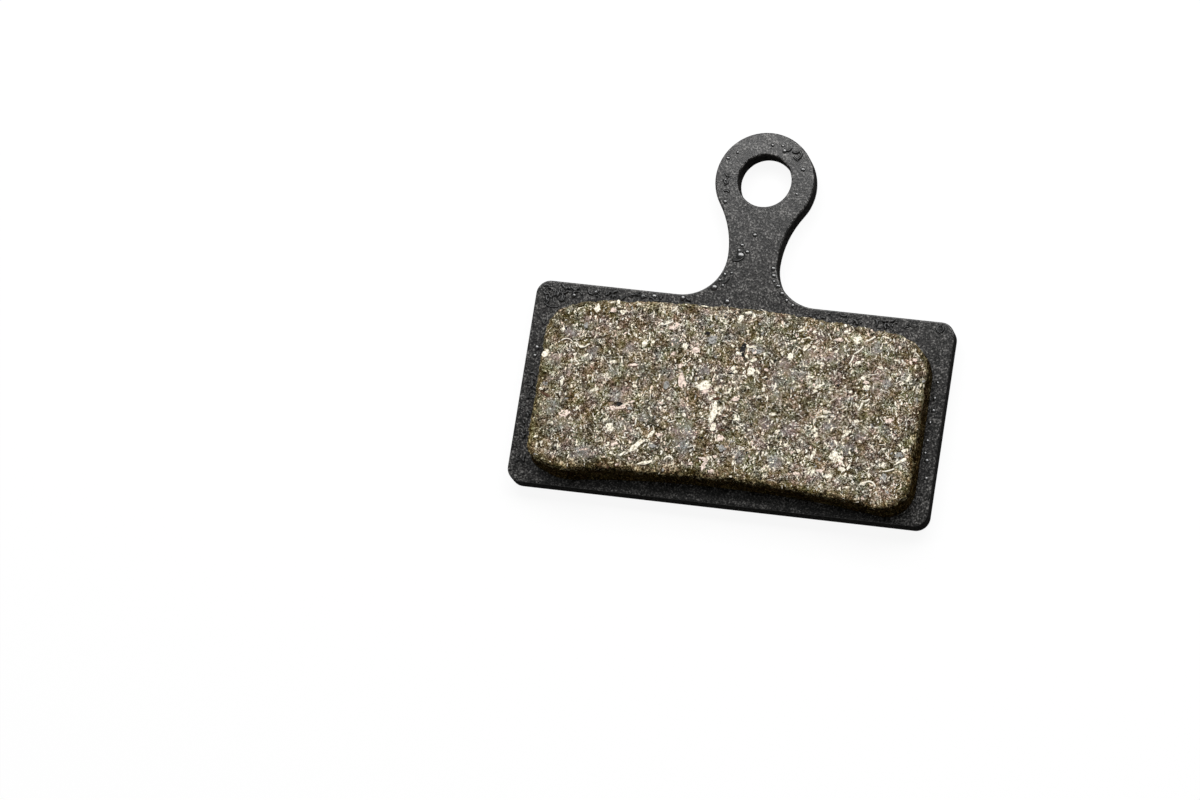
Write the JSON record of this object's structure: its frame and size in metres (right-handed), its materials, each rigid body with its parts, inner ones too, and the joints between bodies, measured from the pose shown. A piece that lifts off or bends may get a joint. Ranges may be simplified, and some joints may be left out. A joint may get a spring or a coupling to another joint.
{
  "type": "bicycle disc brake pad",
  "caption": "Bicycle disc brake pad: a black stamped plate with a waisted ring tab for the retaining pin, and a speckled friction block moulded on its front.",
  "frame": {"origin": "centre of the plate's rectangular body on its back face, where the piston pushes", "axes": "+Z out of the friction face, +Y from the body to the ring tab, +X along the long side"},
  "size_m": [0.0284, 0.0256, 0.0037],
  "materials": {
    "black_coated_steel": "satin black coat with a fine orange-peel grain and small blisters",
    "friction_compound": "rough ground organic compound with pale metal flakes and fibres"
  },
  "bodies": {
    "root": {"backing_plate": "black_coated_steel", "friction_block": "friction_compound"}
  },
  "joints": []
}
